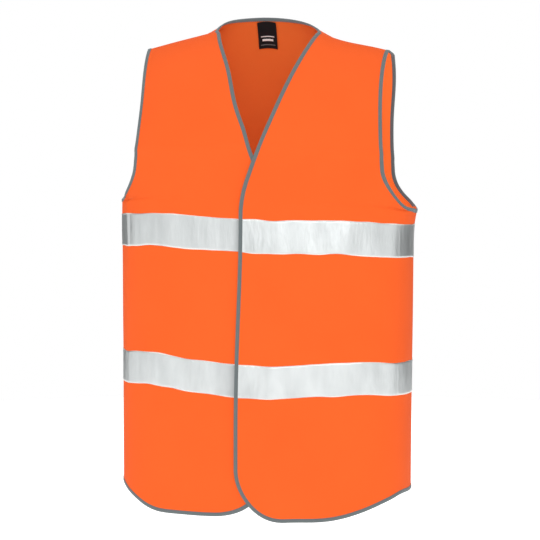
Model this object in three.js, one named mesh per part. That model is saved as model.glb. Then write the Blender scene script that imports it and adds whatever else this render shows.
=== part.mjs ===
// High-visibility waistcoat, shaped as it hangs on a wearer. Millimetres, +Z up, -Y is the front,
// +X is the wearer's left. The origin is midway between the two shoulder neck points, the
// datum that a garment's lengths are measured from.
//
// Every cloth piece lies on one body surface. A place on it is (turn, level): turn runs round the
// body, 0 at the centre front, a quarter turn at the wearer's left side seam and half a turn at
// the centre back. Level 0 is the chest line, 1 is the shoulder ridge, and it is negative below.
import * as THREE from "three";

const { sin, cos, asin, acos, sqrt, abs, max, min, hypot, PI } = Math;
const QUARTER = PI / 2;

// ---- overall sizes ----
const bodyLength = 748; // shoulder neck point down to the lowest point of the front hem
const frontHemDrop = 32; // how far that point hangs below the hem at a side seam
const sideLength = bodyLength - frontHemDrop;
const backHemDrop = 22; // how far the back hem's centre hangs below its sides
const chestHalfWidth = 230;
const frontDepth = 118;
const backDepth = 112;
const sectionSquareness = 0.05; // 0 is an ellipse; more makes the body's section squarer
const hemRoundPower = 1.3;

// ---- shoulders, neck and armholes ----
const chestLevel = -190; // the height where the front and back stand upright
const shoulderFall = 1.4; // how early the cloth falls away from the shoulder ridge
const shoulderSlope = 0.27;
const neckHalfWidth = 81;
const neckBlend = 30; // rounds the shoulder line over the centre
const neckDrop = 207; // depth of the V at the centre front
const neckRounding = 30; // how far from its corner the V starts to turn into the front edge
const backNeckReach = 66; // how far behind the shoulder line the back neck runs
const napeHeight = 70;
const napeSpread = 0.9;
const napeSoftness = 0.15;
const shoulderInset = 38; // how much narrower than the chest the shoulders end
const shoulderHalfWidth = chestHalfWidth - shoulderInset;
const armholeInset = 45; // how far in from the chest's side the armhole reaches
const armholeWaist = chestHalfWidth - armholeInset;
const armholeTurn = -215; // height where the armhole starts to curve out to the side
const armholeBottom = -276;

// ---- front opening ----
const overlap = 44;
const cornerRadius = 75;
const foldHalfWidthAtChest = 55; // half width of the line each front swings about, at foldHigh ...
const foldHalfWidthAtHem = 130; // ... and at foldLow
const foldHigh = -235;
const foldLow = -bodyLength;
const foldGap = 0.6;
const foldTopWidth = 13; // the swinging part ends where it has narrowed to this
const foldTopRoom = 6; // the neck binding starts this far above the swinging part
const overlapEaseStart = 32; // the outer front comes back down to the body between these
const overlapEaseEnd = 75;

// ---- cloth, tape, binding, patches and labels ----
const cloth = 1.0;
const tapeThickness = 0.6;
const tapeWidth = 50;
const upperTapeCentre = -322;
const lowerTapeCentre = -540;
const bindingWidth = 8;
const bindingLeaf = 0.8;
const layerGap = 0.5; // between one layer and the next
const napeGap = 1.8; // under the back neck binding, where the cloth curves both ways
const seamGap = 0.3; // between pieces that are sewn edge to edge
const patchRoom = 1.5; // between a patch and the binding beside it
const patchWidth = overlap - 2 * (bindingWidth + patchRoom);
const patchLength = 60;
const patchThickness = 1.0;
const patchCentres = [-322, -475, -628];
const seamWidth = 7;
const seamThickness = 0.8;
const seamEndClearance = 3;
const labelWidth = 31;
const labelLength = 42;
const careLabelWidth = 30;
const careLabelLength = 55;
const careLabelCentre = -640;
const labelThickness = 0.5;
const labelRoom = 3; // between the neck label and the binding, so that it can lift

// The outer front is lifted over the inner front, its binding and the closed hook and loop.
const overlapLift = cloth + 2 * patchThickness + 3 * layerGap;
const halfOverlap = overlap / 2;
const rowHeight = abs(chestLevel) * QUARTER; // height of one unit of level below the chest line

// ---- the body surface ----
const shoulderLine = (x) =>
  shoulderSlope * (hypot(neckHalfWidth, neckBlend) - hypot(x, neckBlend));

function section(turn) {
  const k = sectionSquareness;
  return {
    across: (sin(turn) + k * sin(3 * turn)) / (1 - k),
    deep: (cos(turn) - k * cos(3 * turn)) / (1 - k),
  };
}

// The neck's own slope, which lifts the cloth behind the shoulder ridge.
function napeRise(x, y) {
  if (y <= 0) return 0;
  const back = y / backNeckReach;
  const ring = hypot(x / neckHalfWidth, back);
  const soft = (hypot(back, napeSoftness) - napeSoftness) / (hypot(1, napeSoftness) - napeSoftness);
  const away = max(ring - 1, 0) / napeSpread;
  return (napeHeight * soft * Math.exp(-away * away)) / max(ring, 1);
}

function bodyPoint(turn, level) {
  const { across, deep } = section(turn);
  const x = chestHalfWidth * across;
  const depth = -deep * (deep > 0 ? frontDepth : backDepth);
  if (level <= 0) return new THREE.Vector3(x, depth, chestLevel + level * rowHeight);
  const lean = min(level, 1) * QUARTER;
  const y = depth * max(cos(lean), 0) ** shoulderFall;
  const z = chestLevel + (shoulderLine(x) - chestLevel) * sin(lean) + napeRise(x, y);
  return new THREE.Vector3(x, y, z);
}

// The two directions along the surface at a place, per unit of turn and of level.
function bodyTangents(turn, level) {
  const step = 1e-3;
  const mid = min(level, 1 - 6 * step);
  const alongTurn = bodyPoint(turn + step, mid).sub(bodyPoint(turn - step, mid));
  const alongLevel = bodyPoint(turn, mid + step).sub(bodyPoint(turn, mid - step));
  return [alongTurn.divideScalar(2 * step), alongLevel.divideScalar(2 * step)];
}

function bodyNormal(turn, level) {
  const [alongTurn, alongLevel] = bodyTangents(turn, level);
  return alongTurn.cross(alongLevel).normalize();
}

// The turn at which the body is x wide, in front, and the level of a height there.
function turnAt(x) {
  let low = -QUARTER;
  let high = QUARTER;
  for (let i = 0; i < 50; i++) {
    const mid = (low + high) / 2;
    if (chestHalfWidth * section(mid).across < x) low = mid;
    else high = mid;
  }
  return (low + high) / 2;
}

function levelAt(x, z) {
  if (z <= chestLevel) return (z - chestLevel) / rowHeight;
  return asin(min((z - chestLevel) / (shoulderLine(x) - chestLevel), 1)) / QUARTER;
}

// ---- edges of the cloth, as the turn at each level ----
// Points run upwards as {turn, level}; between them the edge is straight.
function edgeOfLevels(points) {
  return (level) => {
    const next = points.findIndex((p) => p.level >= level);
    if (next <= 0) return points[next === 0 ? 0 : points.length - 1].turn;
    const [a, b] = [points[next - 1], points[next]];
    return a.turn + ((b.turn - a.turn) * (level - a.level)) / (b.level - a.level);
  };
}

const place = (x, z) => ({ turn: turnAt(x), level: levelAt(x, z) });
const steps = (count) => Array.from({ length: count + 1 }, (_, i) => i / count);

// The front edge runs up the opening, turns in one soft curve into the V and ends at the neck point.
function frontEdgePoints() {
  const fall = neckDrop / neckHalfWidth;
  const corner = new THREE.Vector2(-halfOverlap, -neckDrop - halfOverlap * fall);
  const along = new THREE.Vector2(1, fall).normalize();
  const below = new THREE.Vector2(corner.x, corner.y - neckRounding);
  const above = corner.clone().addScaledVector(along, neckRounding);
  const bend = new THREE.QuadraticBezierCurve(below, corner, above).getPoints(8);
  const line = steps(24)
    .slice(1)
    .map((t) => {
      const x = above.x + (neckHalfWidth - above.x) * (1 - (1 - t) ** 2);
      return new THREE.Vector2(x, (x - neckHalfWidth) * fall);
    });
  return [new THREE.Vector2(-halfOverlap, -bodyLength), ...bend, ...line].map((p) => place(p.x, p.y));
}

// The armhole runs up from the side seam, turns upright and ends at the shoulder's end.
const armholeHeight = (t) => armholeTurn + (armholeBottom - armholeTurn) * cos(t * QUARTER);

function armholePoints() {
  const inner = turnAt(armholeWaist);
  const curve = steps(8).map((t) => ({
    turn: QUARTER - (QUARTER - inner) * sin(t * QUARTER),
    level: levelAt(0, armholeHeight(t)),
  }));
  const upright = steps(10)
    .slice(1)
    .map((t) => {
      const x = armholeWaist + (shoulderHalfWidth - armholeWaist) * t * t;
      const z = armholeTurn + (shoulderLine(shoulderHalfWidth) - armholeTurn) * sin(t * QUARTER);
      return place(x, z);
    });
  return [{ turn: QUARTER, level: levelAt(0, -bodyLength) }, ...curve, ...upright];
}

const frontEdge = edgeOfLevels(frontEdgePoints());
const armholeEdge = edgeOfLevels(armholePoints());

// The straight line that a front swings about, seen from the front.
const foldHalfWidth = (z) =>
  foldHalfWidthAtChest +
  ((foldHalfWidthAtHem - foldHalfWidthAtChest) * (foldHigh - z)) / (foldHigh - foldLow);
const heightAt = (turn, level) => bodyPoint(turn, level).z;
const turnOfMillimetres = (length, turn, level) => length / bodyTangents(turn, level)[0].length();

function foldTurn(level) {
  const onLine = (x) => foldHalfWidth(heightAt(turnAt(x), level));
  let x = foldHalfWidthAtChest;
  for (let i = 0; i < 6; i++) x = onLine(x);
  return turnAt(x);
}

// ---- hems ----
const roundHem = (turn, drop) => -sideLength - drop * abs(cos(turn)) ** hemRoundPower;

function frontHem(turn) {
  const in_ = chestHalfWidth * section(turn).across + halfOverlap;
  const hem = roundHem(turn, frontHemDrop);
  if (in_ >= cornerRadius) return hem;
  return hem + cornerRadius - sqrt(max(cornerRadius ** 2 - (cornerRadius - in_) ** 2, 0));
}

const backHem = (turn) => roundHem(turn, backHemDrop);

// ---- how a piece is worn ----
// The fronts are drawn for the wearer's left; side -1 mirrors one to the right. lift is how far
// the cloth stands off the body surface at a turn: the outer front lies over the inner one.
const smooth = (t) => t * t * (3 - 2 * t);

function outerLift(turn) {
  const x = chestHalfWidth * section(turn).across;
  const ease = (overlapEaseEnd - x) / (overlapEaseEnd - overlapEaseStart);
  return overlapLift * smooth(min(max(ease, 0), 1));
}

const flat = () => 0;
const outerFront = { side: 1, lift: outerLift };
const innerFront = { side: -1, lift: flat };
const onBack = { side: 1, lift: flat };

// ---- panels: grids of places ----
const sideLevel = levelAt(0, armholeBottom);
const hemLevel = levelAt(0, -bodyLength);
const ridgeLevel = 1 - (seamGap / frontDepth) ** (1 / shoulderFall) / QUARTER;
const lowerRows = [0, 0.02, 0.2, 0.4, 0.6, 0.8];
const halfSeam = turnOfMillimetres(seamGap / 2, QUARTER, sideLevel);

// Levels of the rows above the side seam, close together where the armhole turns.
const armholeRows = steps(8).map((t) => levelAt(0, armholeHeight(t)));
const aboveArmhole = ridgeLevel - armholeRows[8];
const upperRows = [
  ...armholeRows,
  ...steps(10)
    .slice(1)
    .map((t) => armholeRows[8] + aboveArmhole * (0.55 * t + 0.45 * sin(t * QUARTER))),
];

// Rows of a front between two edges, each a function of level. Below the armhole they fan out.
function frontGrid(from, to, columns, levels) {
  const across = (level, share) => from(level) + (to(level) - from(level)) * share;
  const lower = lowerRows.map((f) =>
    columns.map((u) => {
      const turn = across(hemLevel + (sideLevel - hemLevel) * f, u);
      const hem = frontHem(turn);
      return { turn, level: levelAt(0, hem + (armholeBottom - hem) * f) };
    }),
  );
  const upper = levels.map((level) => columns.map((u) => ({ turn: across(level, u), level })));
  return [...lower, ...upper];
}

// The back's top row follows the back neck between the neck points and the ridge outside them.
function backTopLevel(x) {
  if (abs(x) >= neckHalfWidth) return ridgeLevel;
  const y = backNeckReach * sqrt(1 - (x / neckHalfWidth) ** 2);
  const reach = y / (backDepth * abs(section(turnAt(x)).deep));
  return min(acos(reach ** (1 / shoulderFall)) / QUARTER, ridgeLevel);
}

const neckShares = [0.19, 0.36, 0.52, 0.67, 0.8, 0.9, 0.965, 1];
const shoulderShares = [0.07, 0.18, 0.32, 0.46, 0.62, 0.76, 0.89, 0.955, 1];
const backWidths = [
  0,
  ...neckShares.map((s) => neckHalfWidth * s),
  ...shoulderShares.map((s) => neckHalfWidth + (shoulderHalfWidth - neckHalfWidth) * s),
];

function backGrid() {
  const widths = [...backWidths.slice(1).reverse(), ...backWidths.map((x) => -x)];
  const share = (x) => turnAt(x) / turnAt(shoulderHalfWidth);
  const spread = (level, x) => PI - (armholeEdge(level) - halfSeam) * share(x);
  const lower = lowerRows.map((f) =>
    widths.map((x) => {
      const turn = spread(sideLevel, x);
      return { turn, level: levelAt(0, backHem(turn) + (armholeBottom - backHem(turn)) * f) };
    }),
  );
  const upper = upperRows.map((level) => {
    const climb = (level - sideLevel) / (ridgeLevel - sideLevel);
    return widths.map((x) => {
      return { turn: spread(level, x), level: sideLevel + (backTopLevel(x) - sideLevel) * climb };
    });
  });
  return [...lower, ...upper];
}

// ---- solids from grids and rings ----
function pointAt(spot, height, worn) {
  const point = bodyPoint(spot.turn, spot.level);
  point.addScaledVector(bodyNormal(spot.turn, spot.level), worn.lift(spot.turn) + height);
  point.x *= worn.side;
  return point;
}

function solidFromTriangles(triangles) {
  const cross = new THREE.Vector3();
  const volumeUnder = ([a, b, c]) => a.dot(cross.crossVectors(b, c)) / 6;
  const volume = triangles.reduce((sum, face) => sum + volumeUnder(face), 0);
  const outward = volume < 0 ? triangles.map(([a, b, c]) => [a, c, b]) : triangles;
  return new THREE.BufferGeometry().setFromPoints(outward.flat());
}

// Two triangles, split along the shorter diagonal so that they stay close to the curve.
function quad(a, b, c, d) {
  if (a.distanceToSquared(c) <= b.distanceToSquared(d)) return [[a, b, c], [a, c, d]];
  return [[a, b, d], [b, c, d]];
}

// Cloth between two heights over a grid of places.
function slab(grid, bottom, top, worn) {
  const over = grid.map((row) => row.map((spot) => pointAt(spot, top, worn)));
  const under = grid.map((row) => row.map((spot) => pointAt(spot, bottom, worn)));
  const triangles = [];
  const last = grid.length - 1;
  const end = grid[0].length - 1;
  for (let r = 0; r < last; r++)
    for (let c = 0; c < end; c++) {
      triangles.push(...quad(over[r][c], over[r][c + 1], over[r + 1][c + 1], over[r + 1][c]));
      triangles.push(...quad(under[r][c], under[r + 1][c], under[r + 1][c + 1], under[r][c + 1]));
    }
  for (let c = 0; c < end; c++) {
    triangles.push(...quad(over[0][c + 1], over[0][c], under[0][c], under[0][c + 1]));
    triangles.push(...quad(over[last][c], over[last][c + 1], under[last][c + 1], under[last][c]));
  }
  for (let r = 0; r < last; r++) {
    triangles.push(...quad(over[r][0], over[r + 1][0], under[r + 1][0], under[r][0]));
    triangles.push(...quad(over[r + 1][end], over[r][end], under[r][end], under[r + 1][end]));
  }
  return solidFromTriangles(triangles);
}

// A bar through rings of points, closed at both ends with the given flat outline.
function barThroughRings(rings, outline) {
  const triangles = [];
  for (let i = 0; i + 1 < rings.length; i++)
    for (let j = 0; j < outline.length; j++) {
      const k = (j + 1) % outline.length;
      triangles.push(...quad(rings[i][j], rings[i][k], rings[i + 1][k], rings[i + 1][j]));
    }
  const [first, last] = [rings[0], rings[rings.length - 1]];
  for (const face of THREE.ShapeUtils.triangulateShape(outline, [])) {
    const [a, b, c] = THREE.ShapeUtils.isClockWise(outline) ? face.toReversed() : face;
    triangles.push([first[c], first[b], first[a]], [last[a], last[b], last[c]]);
  }
  return solidFromTriangles(triangles);
}

// The change of turn and level that moves along the surface by a vector.
function placeShift(alongTurn, alongLevel, move) {
  const [a, b, c] = [alongTurn.lengthSq(), alongTurn.dot(alongLevel), alongLevel.lengthSq()];
  const [p, q] = [alongTurn.dot(move), alongLevel.dot(move)];
  const size = a * c - b * b;
  return { turn: (c * p - b * q) / size, level: (a * q - b * p) / size };
}

// Binding folded over an edge of the cloth. inward is +1 or -1, the side of the path the cloth
// lies on. An end is squared off along the turn or along the level, to meet the next binding.
function binding(path, inward, worn, squareStart, squareEnd, near = layerGap) {
  const far = near + bindingLeaf;
  const outline = [
    [-bindingWidth, cloth + near],
    [near, cloth + near],
    [near, -near],
    [-bindingWidth, -near],
    [-bindingWidth, -far],
    [far, -far],
    [far, cloth + far],
    [-bindingWidth, cloth + far],
  ].map(([out, height]) => new THREE.Vector2(out, height));
  const rings = path.map((spot, i) => {
    const before = path[max(i - 1, 0)];
    const after = path[min(i + 1, path.length - 1)];
    const chord = bodyPoint(after.turn, after.level).sub(bodyPoint(before.turn, before.level));
    const [alongTurn, alongLevel] = bodyTangents(spot.turn, spot.level);
    const squared = { 0: squareStart, [path.length - 1]: squareEnd }[i];
    if (squared) {
      const straight = squared === "turn" ? alongTurn : alongLevel;
      const forwards = Math.sign(straight.dot(chord));
      chord.copy(straight).multiplyScalar(forwards);
    }
    const normal = alongTurn.clone().cross(alongLevel).normalize();
    const outward = chord.cross(normal).normalize().multiplyScalar(inward);
    const shift = placeShift(alongTurn, alongLevel, outward.clone().multiplyScalar(-bindingWidth));
    const inner = { turn: spot.turn + shift.turn, level: spot.level + shift.level };
    return outline.map(({ x: out, y: height }) => {
      if (out < 0) return pointAt(inner, height, worn);
      const over = outward.clone().multiplyScalar(out);
      over.x *= worn.side;
      return pointAt(spot, height, worn).add(over);
    });
  });
  return barThroughRings(rings, outline);
}

// ---- materials ----
const finish = (color, roughness, metalness = 0) =>
  new THREE.MeshStandardMaterial({ color, roughness, metalness });
const orange = finish(0xff6a30, 0.85);
const grey = finish(0x74787a, 0.8);
const silver = finish(0xdfe2e4, 0.45, 0.3);
const hookAndLoop = finish(0x5c6062, 0.95);
const labelBlack = finish(0x101114, 0.6);
const labelWhite = finish(0xf2f2ee, 0.7);

const vest = new THREE.Group();

function add(name, geometry, material) {
  const mesh = new THREE.Mesh(geometry, material);
  mesh.name = name;
  vest.add(mesh);
}

// ---- the two fronts ----
const cornerColumns = [0, 22.5, 45, 67.5, 90].map((a) => cornerRadius * (1 - cos((a * PI) / 180)));
const besideBinding = bindingWidth + 2 * layerGap;
const sideColumns = [0, 0.07, 0.14, 0.24, 0.4, 0.56, 0.7, 0.81, 0.89, 0.95, 1];
const tapeBase = cloth + layerGap;
const tapes = [
  ["upper", upperTapeCentre],
  ["lower", lowerTapeCentre],
];
const flapTapeColumns = steps(6);

// Shares of the swinging part's width, from the free edge through the round corner to the fold.
function flapColumns() {
  const width = foldHalfWidthAtHem + halfOverlap;
  const marks = [...cornerColumns, besideBinding, (cornerRadius + width) / 2, width];
  return marks.map((along) => along / width).sort((a, b) => a - b);
}

function tape(centre, from, to, shares, worn) {
  const grid = [-tapeWidth / 2, tapeWidth / 2].map((up) => {
    const level = levelAt(0, centre + up);
    return shares.map((u) => ({ turn: from(level) + (to(level) - from(level)) * u, level }));
  });
  return slab(grid, tapeBase, tapeBase + tapeThickness, worn);
}

// The level where a front has narrowed to foldTopWidth between its edge and the fold line.
function findFoldTop() {
  const width = (level) => {
    const turn = foldTurn(level);
    return (turn - frontEdge(level)) * bodyTangents(turn, level)[0].length();
  };
  let level = 0;
  while (width(level) > foldTopWidth) level += 0.002;
  return level;
}

// Where a tape stops beside the front edge: at the binding, or at a loop patch on the inner front.
function tapeStop(centre, worn) {
  const meets = patchCentres.some((z) => abs(z - centre) < (tapeWidth + patchLength) / 2);
  return worn.side < 0 && meets ? patchWidth / 2 + layerGap : besideBinding - halfOverlap;
}

function addFront(worn, word) {
  const foldTop = findFoldTop();
  const halfFold = turnOfMillimetres(foldGap / 2, foldTurn(hemLevel), hemLevel);
  const beforeFold = (level) => foldTurn(level) - halfFold;
  const afterFold = (level) => (level <= foldTop ? foldTurn(level) + halfFold : frontEdge(level));
  const sideSeam = (level) => armholeEdge(level) - halfSeam;
  const lowRows = upperRows.filter((level) => level < foldTop - 0.02);
  const highRows = upperRows.filter((level) => level > foldTop + 0.03);
  const perLevel = bodyTangents(foldTurn(foldTop), foldTop)[1].length();
  const [sideTop, bindingStart] = [foldGap, foldTopRoom].map((up) => foldTop + up / perLevel);

  const flap = frontGrid(frontEdge, beforeFold, flapColumns(), [...lowRows, foldTop]);
  const sideRows = [...lowRows, foldTop, sideTop, bindingStart, ...highRows];
  const side = frontGrid(afterFold, sideSeam, sideColumns, sideRows);
  add(`${word}_front_flap`, slab(flap, 0, cloth, worn), orange);
  add(`${word}_front_side`, slab(side, 0, cloth, worn), orange);

  // The flap's binding follows its hem from the fold, turns the corner and runs up the free edge.
  const flapEdge = [...flap[0].toReversed(), ...flap.slice(1).map((row) => row[0])];
  const armhole = side.slice(lowerRows.length).map((row) => row[row.length - 1]);
  const neck = side.map((row) => row[0]).filter((spot) => spot.level >= bindingStart);
  add(`${word}_front_binding`, binding(flapEdge, -1, worn, "turn"), grey);
  add(`${word}_side_hem_binding`, binding(side[0], 1, worn, "turn", "turn"), grey);
  add(`${word}_neck_binding`, binding(neck, -1, worn, null, "level"), grey);
  add(`${word}_front_armhole_binding`, binding(armhole, 1, worn, "turn", "level"), grey);

  for (const [name, centre] of tapes) {
    const stop = () => turnAt(tapeStop(centre, worn));
    add(`${name}_tape_${word}_flap`, tape(centre, stop, beforeFold, flapTapeColumns, worn), silver);
    add(`${name}_tape_${word}_side`, tape(centre, afterFold, sideSeam, sideColumns, worn), silver);
  }
}

addFront(outerFront, "left");
addFront(innerFront, "right");

// ---- hook and loop closure, on the centre line ----
function patch(centre, base, worn) {
  const grid = [-patchLength / 2, patchLength / 2].map((up) => {
    const level = levelAt(0, centre + up);
    return [-patchWidth / 2, 0, patchWidth / 2].map((x) => ({ turn: turnAt(x), level }));
  });
  return slab(grid, base, base + patchThickness, { side: worn.side, lift: flat });
}

const loopBase = cloth + layerGap;
const hookBase = loopBase + patchThickness + layerGap;
patchCentres.forEach((centre, i) => {
  add(`loop_patch_${i + 1}`, patch(centre, loopBase, innerFront), hookAndLoop);
  add(`hook_patch_${i + 1}`, patch(centre, hookBase, outerFront), hookAndLoop);
});

// ---- back ----
const back = backGrid();
const topRow = back[back.length - 1];
const [leftEdge, rightEdge] = [0, topRow.length - 1].map((i) => back.map((row) => row[i]));
const aboveSeam = (edge) => edge.slice(lowerRows.length);
const backNeck = topRow.slice(shoulderShares.length, topRow.length - shoulderShares.length);
add("back_panel", slab(back, 0, cloth, onBack), orange);
add("back_neck_binding", binding(backNeck, -1, onBack, "level", "level", napeGap), grey);
add("back_hem_binding", binding(back[0], 1, onBack, "turn", "turn"), grey);
add("left_back_armhole_binding", binding(aboveSeam(leftEdge), -1, onBack, "turn", "level"), grey);
add("right_back_armhole_binding", binding(aboveSeam(rightEdge), 1, onBack, "turn", "level"), grey);

const backShares = backWidths.map((x) => turnAt(x) / turnAt(shoulderHalfWidth));
const backTapeColumns = [...backShares.toReversed().slice(0, -1).map((u) => -u), ...backShares];
for (const [name, centre] of tapes) {
  const middle = () => PI;
  const edge = () => PI + QUARTER - halfSeam;
  add(`${name}_tape_back`, tape(centre, middle, edge, backTapeColumns, onBack), silver);
}

// ---- overlocked seams, turned to the back inside the garment ----
const seamEnd = bindingWidth + seamEndClearance;
const seamSolid = (grid, worn) => slab(grid, -2 * layerGap - seamThickness, -2 * layerGap, worn);

function sideSeam(worn) {
  const grid = [seamEnd - sideLength, armholeBottom - seamEnd].map((z) =>
    [seamGap, seamWidth / 2, seamWidth].map((along) => {
      const turn = QUARTER + turnOfMillimetres(along, QUARTER, sideLevel);
      return { turn, level: levelAt(0, z) };
    }),
  );
  return seamSolid(grid, worn);
}

function shoulderSeam(worn) {
  const [inner, outer] = [neckHalfWidth + seamEnd, shoulderHalfWidth - seamEnd];
  const widths = [inner, ...backWidths.filter((x) => x > inner + 2 && x < outer - 2), outer];
  const grid = [seamGap, seamWidth].map((down) =>
    widths.map((x) => {
      const turn = PI - turnAt(x);
      return { turn, level: ridgeLevel - down / bodyTangents(turn, ridgeLevel - 0.1)[1].length() };
    }),
  );
  return seamSolid(grid, worn);
}

for (const [side, word] of [
  [1, "left"],
  [-1, "right"],
]) {
  const worn = { side, lift: flat };
  add(`${word}_side_seam`, sideSeam(worn), orange);
  add(`${word}_shoulder_seam`, shoulderSeam(worn), orange);
}

// ---- labels: woven tabs, each sewn in along one edge and lying along the inside of the cloth ----
const labelSolid = (grid) => slab(grid, -2 * layerGap - labelThickness, -2 * layerGap, onBack);

// The level that lies a length down the centre back from the neck's edge.
function levelDownBack(length) {
  const step = 0.001;
  let level = backTopLevel(0);
  for (let gone = 0; gone < length; level -= step)
    gone += bodyPoint(PI, level).distanceTo(bodyPoint(PI, level - step));
  return level;
}

// The neck label hangs from just below the back neck binding.
function neckLabel() {
  const start = bindingWidth + labelRoom;
  const half = turnOfMillimetres(labelWidth / 2, PI, backTopLevel(0));
  return labelSolid(
    steps(4).map((t) => {
      const level = levelDownBack(start + labelLength * t);
      return [-half, 0, half].map((turn) => ({ turn: PI + turn, level }));
    }),
  );
}

// The care label is sewn into the left side seam and lies forwards along the inside of the front.
function careLabel() {
  return labelSolid(
    [-careLabelLength / 2, careLabelLength / 2].map((up) => {
      const level = levelAt(0, careLabelCentre + up);
      return steps(3).map((t) => {
        const along = seamGap + (careLabelWidth - seamGap) * t;
        return { turn: QUARTER - turnOfMillimetres(along, QUARTER, level), level };
      });
    }),
  );
}

add("neck_label", neckLabel(), labelBlack);
add("care_label", careLabel(), labelWhite);

export default vest;
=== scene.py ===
"""An orange high-visibility vest, in the shape it has when worn: three panels of knitted cloth,
bound edges, two reflective tapes round the body and a hook and loop front. Lengths are in
millimetres until a mesh is made. A place on the cloth is (turn, level). turn runs round the body
from the centre front to the wearer's left. level is negative below the chest, 0 at it and 1 along
the shoulder ridge."""

import math

import bpy
import numpy as np
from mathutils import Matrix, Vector


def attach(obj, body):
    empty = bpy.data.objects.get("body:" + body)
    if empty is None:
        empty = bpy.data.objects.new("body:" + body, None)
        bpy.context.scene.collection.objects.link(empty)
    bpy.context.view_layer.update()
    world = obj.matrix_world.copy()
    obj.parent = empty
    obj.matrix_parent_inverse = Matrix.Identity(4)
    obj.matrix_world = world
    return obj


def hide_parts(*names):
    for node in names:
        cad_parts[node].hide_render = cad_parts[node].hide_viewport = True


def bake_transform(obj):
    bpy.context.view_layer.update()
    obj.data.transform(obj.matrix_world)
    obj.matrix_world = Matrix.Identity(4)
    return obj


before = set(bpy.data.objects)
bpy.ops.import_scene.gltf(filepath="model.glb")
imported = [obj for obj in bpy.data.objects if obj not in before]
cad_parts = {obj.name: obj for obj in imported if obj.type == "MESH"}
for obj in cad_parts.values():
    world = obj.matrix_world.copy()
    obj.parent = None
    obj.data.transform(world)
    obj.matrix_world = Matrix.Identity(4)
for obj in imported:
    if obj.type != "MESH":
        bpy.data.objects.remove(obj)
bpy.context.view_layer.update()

MM = 0.001
QUARTER = math.pi / 2
FULL = 2 * math.pi

# ---- the vest's sizes ----
BODY_LENGTH = 748  # neck point to the lowest point of the front hem
SIDE_LENGTH = 716
BACK_HEM_DROP = 22
HALF_WIDTH = 230
FRONT_DEPTH = 118
BACK_DEPTH = 112
SQUARENESS = 0.05  # how far the body's section leans from an ellipse towards a rectangle
HEM_POWER = 1.3
CHEST = -190
FALL = 1.4  # how fast the body narrows from front to back towards the shoulder ridge
SLOPE = 0.27
NECK_HALF = 81
NECK_BLEND = 30
NECK_DROP = 207
NECK_ROUNDING = 30
BACK_NECK_REACH = 66
NAPE_HEIGHT = 70
NAPE_SPREAD = 0.9
NAPE_SOFT = 0.15
SHOULDER_HALF = 192
ARMHOLE_WAIST = 185
ARMHOLE_TURN = -215
ARMHOLE_BOTTOM = -276
HALF_OVERLAP = 22
CORNER_RADIUS = 75
OVERLAP_LIFT = 4.5  # how far the outer front stands off where it lies over the inner one
LIFT_FROM, LIFT_TO = 32, 75
TAPE_WIDTH = 50
TAPE_CENTRES = {"upper": -322, "lower": -540}
PATCH_WIDTH, PATCH_LENGTH = 25, 60
PATCH_CENTRES = (-322, -475, -628)
SIDE_RADIUS, LABEL_RADIUS = 139.0, 141.0  # of the curve round the side seam
ROW = abs(CHEST) * QUARTER  # millimetres in one unit of level below the chest

# ---- heights of the layers off the body surface ----
CLOTH_LOW, CLOTH_HIGH = 0.25, 0.7
TAPE_LOW, TAPE_HIGH = 0.82, 1.15
SEAM_LOW, SEAM_HIGH = -0.95, -0.35
LOOP_LOW, LOOP_HIGH, LOOP_ROUGHNESS = 1.2, 1.85, 0.35
HOOK_LOW, HOOK_HIGH, HOOK_TIPS = 4.0, 4.7, 3.65
STITCH_OVER_LOOP = 2.0
BINDING_STITCH_IN, BINDING_STITCH_OVER, BINDING_STITCH_UNDER = 3.9, 1.36, -0.36


# ---- the body surface ----
def section(turn):
    """The body's section at the chest: across and forward, each from -1 to 1."""
    across = (np.sin(turn) + SQUARENESS * np.sin(3 * turn)) / (1 - SQUARENESS)
    deep = (np.cos(turn) - SQUARENESS * np.cos(3 * turn)) / (1 - SQUARENESS)
    return across, deep


def shoulder_line(x):
    return SLOPE * (math.hypot(NECK_HALF, NECK_BLEND) - np.hypot(x, NECK_BLEND))


def nape_rise(x, y):
    """How far the cloth behind the neck stands above the shoulder line."""
    back = np.maximum(y, 0) / BACK_NECK_REACH
    ring = np.hypot(x / NECK_HALF, back)
    soft = (np.hypot(back, NAPE_SOFT) - NAPE_SOFT) / (math.hypot(1, NAPE_SOFT) - NAPE_SOFT)
    away = np.maximum(ring - 1, 0) / NAPE_SPREAD
    return NAPE_HEIGHT * soft * np.exp(-(away**2)) / np.maximum(ring, 1)


def body_point(turn, level):
    across, deep = section(turn)
    x = HALF_WIDTH * across
    lean = np.clip(level, 0, 1) * QUARTER
    y = -deep * np.where(deep > 0, FRONT_DEPTH, BACK_DEPTH) * np.maximum(np.cos(lean), 0) ** FALL
    above = CHEST + (shoulder_line(x) - CHEST) * np.sin(lean) + nape_rise(x, y)
    z = np.where(level <= 0, CHEST + level * ROW, above)
    return np.stack([x, y, z], -1)


def body_tangents(turn, level):
    """How the surface runs with turn and with level."""
    step = 1e-3
    mid = np.minimum(level, 1 - 6 * step)
    along = (body_point(turn + step, mid) - body_point(turn - step, mid)) / (2 * step)
    up = (body_point(turn, mid + step) - body_point(turn, mid - step)) / (2 * step)
    return along, up


def unit(v):
    return v / np.maximum(np.linalg.norm(v, axis=-1, keepdims=True), 1e-9)


FRONT_TURNS = np.linspace(-QUARTER, QUARTER, 4001)
FRONT_WIDTHS = HALF_WIDTH * section(FRONT_TURNS)[0]
ROUND_TURNS = np.linspace(-0.1, FULL + 0.1, 8001)
ROUND_ARCS = np.concatenate([[0], np.cumsum(np.linalg.norm(np.diff(
    body_point(ROUND_TURNS, np.zeros(len(ROUND_TURNS))), axis=0), axis=1))])
ARC_START = np.interp(0, ROUND_TURNS, ROUND_ARCS)


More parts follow.
